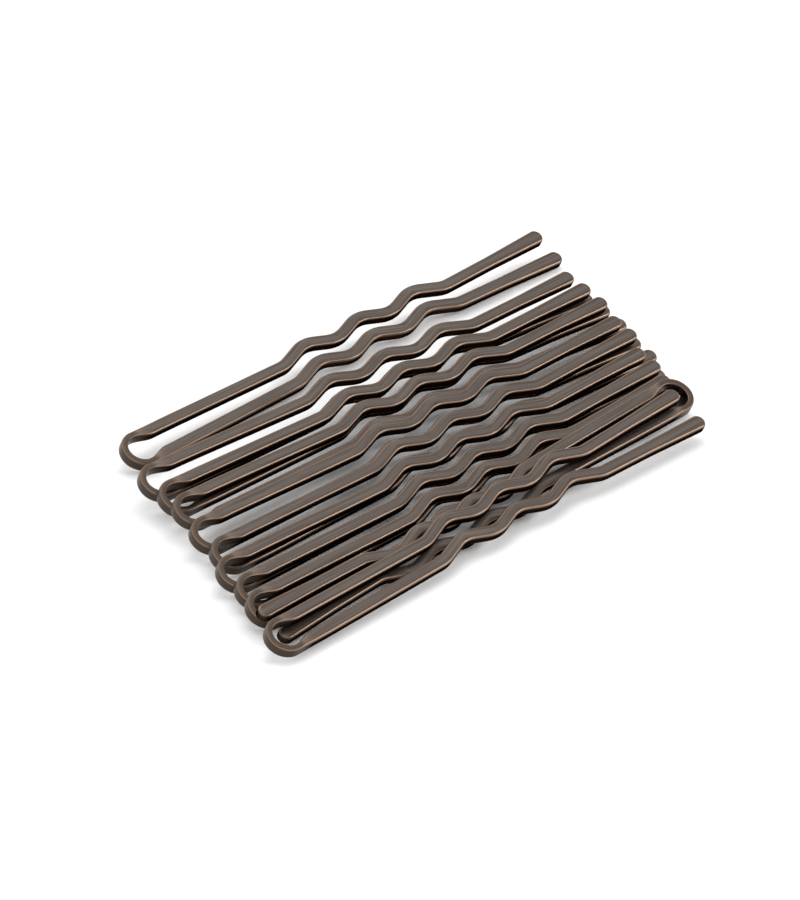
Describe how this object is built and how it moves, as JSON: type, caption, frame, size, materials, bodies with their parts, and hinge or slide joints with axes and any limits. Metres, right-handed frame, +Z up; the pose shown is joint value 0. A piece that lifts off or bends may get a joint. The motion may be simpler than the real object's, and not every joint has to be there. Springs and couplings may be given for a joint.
{
  "type": "crinkled hair pins",
  "caption": "Shingled handful of crinkled U-shaped hair pins bent from flat bronze-brown steel wire, each with a springy leg that opens to grip hair.",
  "frame": {"origin": "centre of the handful's footprint, on the floor that it lies on", "axes": "+X along the pins from the bends to the tips, -Y towards the near side of the row, +Z up"},
  "size_m": [0.064, 0.0344, 0.0036],
  "materials": {
    "wire": "satin bronze-brown lacquer over brushed flat steel wire"
  },
  "bodies": {
    "pin_01": {"pin_01_bend": "wire", "pin_01_near_leg": "wire"},
    "pin_01_sprung_leg": {"pin_01_far_leg": "wire"},
    "pin_02": {"pin_02_bend": "wire", "pin_02_near_leg": "wire"},
    "pin_02_sprung_leg": {"pin_02_far_leg": "wire"},
    "pin_03": {"pin_03_bend": "wire", "pin_03_near_leg": "wire"},
    "pin_03_sprung_leg": {"pin_03_far_leg": "wire"},
    "pin_04": {"pin_04_bend": "wire", "pin_04_near_leg": "wire"},
    "pin_04_sprung_leg": {"pin_04_far_leg": "wire"},
    "pin_05": {"pin_05_bend": "wire", "pin_05_near_leg": "wire"},
    "pin_05_sprung_leg": {"pin_05_far_leg": "wire"},
    "pin_06": {"pin_06_bend": "wire", "pin_06_near_leg": "wire"},
    "pin_06_sprung_leg": {"pin_06_far_leg": "wire"},
    "pin_07": {"pin_07_bend": "wire", "pin_07_near_leg": "wire"},
    "pin_07_sprung_leg": {"pin_07_far_leg": "wire"},
    "pin_08": {"pin_08_bend": "wire", "pin_08_near_leg": "wire"},
    "pin_08_sprung_leg": {"pin_08_far_leg": "wire"},
    "pin_09": {"pin_09_bend": "wire", "pin_09_near_leg": "wire"},
    "pin_09_sprung_leg": {"pin_09_far_leg": "wire"},
    "pin_10": {"pin_10_bend": "wire", "pin_10_far_leg": "wire"},
    "pin_10_sprung_leg": {"pin_10_near_leg": "wire"},
    "pin_11": {"pin_11_bend": "wire", "pin_11_near_leg": "wire"},
    "pin_11_sprung_leg": {"pin_11_far_leg": "wire"}
  },
  "joints": [
    {"name": "pin_01_spread", "type": "hinge", "parent": "pin_01", "child": "pin_01_sprung_leg", "pos_m": [-0.01723, 0.01476, 0.0013], "axis": [0, -0.4392, 0.8984], "range_deg": [0, 14], "stiffness_Nm_per_rad": 0.05, "deforming": ["pin_01_bend"]},
    {"name": "pin_02_draw", "type": "slide", "parent": "pin_01", "child": "pin_02", "axis": [-0.9996, 0.0251, 0.0123], "range_m": [0, 0.06]},
    {"name": "pin_02_spread", "type": "hinge", "parent": "pin_02", "child": "pin_02_sprung_leg", "pos_m": [-0.02083, 0.00887, 0.00216], "axis": [0, -0.4392, 0.8984], "range_deg": [0, 14], "stiffness_Nm_per_rad": 0.05, "deforming": ["pin_02_bend"]},
    {"name": "pin_03_draw", "type": "slide", "parent": "pin_01", "child": "pin_03", "axis": [-0.9998, 0.0172, 0.0084], "range_m": [0, 0.06]},
    {"name": "pin_03_spread", "type": "hinge", "parent": "pin_03", "child": "pin_03_sprung_leg", "pos_m": [-0.02133, 0.00602, 0.00202], "axis": [0, -0.4392, 0.8984], "range_deg": [0, 14], "stiffness_Nm_per_rad": 0.05, "deforming": ["pin_03_bend"]},
    {"name": "pin_04_draw", "type": "slide", "parent": "pin_01", "child": "pin_04", "axis": [-0.9997, 0.0219, 0.0107], "range_m": [0, 0.06]},
    {"name": "pin_04_spread", "type": "hinge", "parent": "pin_04", "child": "pin_04_sprung_leg", "pos_m": [-0.02203, 0.00362, 0.00209], "axis": [0, -0.4392, 0.8984], "range_deg": [0, 14], "stiffness_Nm_per_rad": 0.05, "deforming": ["pin_04_bend"]},
    {"name": "pin_05_draw", "type": "slide", "parent": "pin_01", "child": "pin_05", "axis": [-0.9999, 0.0125, 0.0061], "range_m": [0, 0.06]},
    {"name": "pin_05_spread", "type": "hinge", "parent": "pin_05", "child": "pin_05_sprung_leg", "pos_m": [-0.02333, 0.00024, 0.00169], "axis": [0, -0.4392, 0.8984], "range_deg": [0, 14], "stiffness_Nm_per_rad": 0.05, "deforming": ["pin_05_bend"]},
    {"name": "pin_06_draw", "type": "slide", "parent": "pin_01", "child": "pin_06", "axis": [-1, 0, 0], "range_m": [0, 0.06]},
    {"name": "pin_06_spread", "type": "hinge", "parent": "pin_06", "child": "pin_06_sprung_leg", "pos_m": [-0.02403, -0.00283, 0.00143], "axis": [0, -0.4392, 0.8984], "range_deg": [0, 14], "stiffness_Nm_per_rad": 0.05, "deforming": ["pin_06_bend"]},
    {"name": "pin_07_draw", "type": "slide", "parent": "pin_01", "child": "pin_07", "axis": [-1, 0.0031, 0.0015], "range_m": [0, 0.06]},
    {"name": "pin_07_spread", "type": "hinge", "parent": "pin_07", "child": "pin_07_sprung_leg", "pos_m": [-0.02583, -0.00541, 0.00142], "axis": [0, -0.4392, 0.8984], "range_deg": [0, 14], "stiffness_Nm_per_rad": 0.05, "deforming": ["pin_07_bend"]},
    {"name": "pin_08_draw", "type": "slide", "parent": "pin_01", "child": "pin_08", "axis": [-1, -0.0063, -0.0031], "range_m": [0, 0.06]},
    {"name": "pin_08_spread", "type": "hinge", "parent": "pin_08", "child": "pin_08_sprung_leg", "pos_m": [-0.02653, -0.0083, 0.00125], "axis": [0, -0.4392, 0.8984], "range_deg": [0, 14], "stiffness_Nm_per_rad": 0.05, "deforming": ["pin_08_bend"]},
    {"name": "pin_09_draw", "type": "slide", "parent": "pin_01", "child": "pin_09", "axis": [-0.9999, -0.0094, -0.0046], "range_m": [0, 0.06]},
    {"name": "pin_09_spread", "type": "hinge", "parent": "pin_09", "child": "pin_09_sprung_leg", "pos_m": [-0.02783, -0.01085, 0.00125], "axis": [0, -0.4392, 0.8984], "range_deg": [0, 14], "stiffness_Nm_per_rad": 0.05, "deforming": ["pin_09_bend"]},
    {"name": "pin_10_draw", "type": "slide", "parent": "pin_01", "child": "pin_10", "axis": [0.9994, 0.0314, 0.0153], "range_m": [0, 0.06]},
    {"name": "pin_10_spread", "type": "hinge", "parent": "pin_10", "child": "pin_10_sprung_leg", "pos_m": [0.01937, -0.01167, 0.0021], "axis": [0, 0.4392, -0.8984], "range_deg": [0, 14], "stiffness_Nm_per_rad": 0.05, "deforming": ["pin_10_bend"]},
    {"name": "pin_11_draw", "type": "slide", "parent": "pin_01", "child": "pin_11", "axis": [-0.9997, -0.0235, -0.0115], "range_m": [0, 0.06]},
    {"name": "pin_11_spread", "type": "hinge", "parent": "pin_11", "child": "pin_11_sprung_leg", "pos_m": [-0.03023, -0.01541, 0.00152], "axis": [0, -0.4392, 0.8984], "range_deg": [0, 14], "stiffness_Nm_per_rad": 0.05, "deforming": ["pin_11_bend"]}
  ]
}
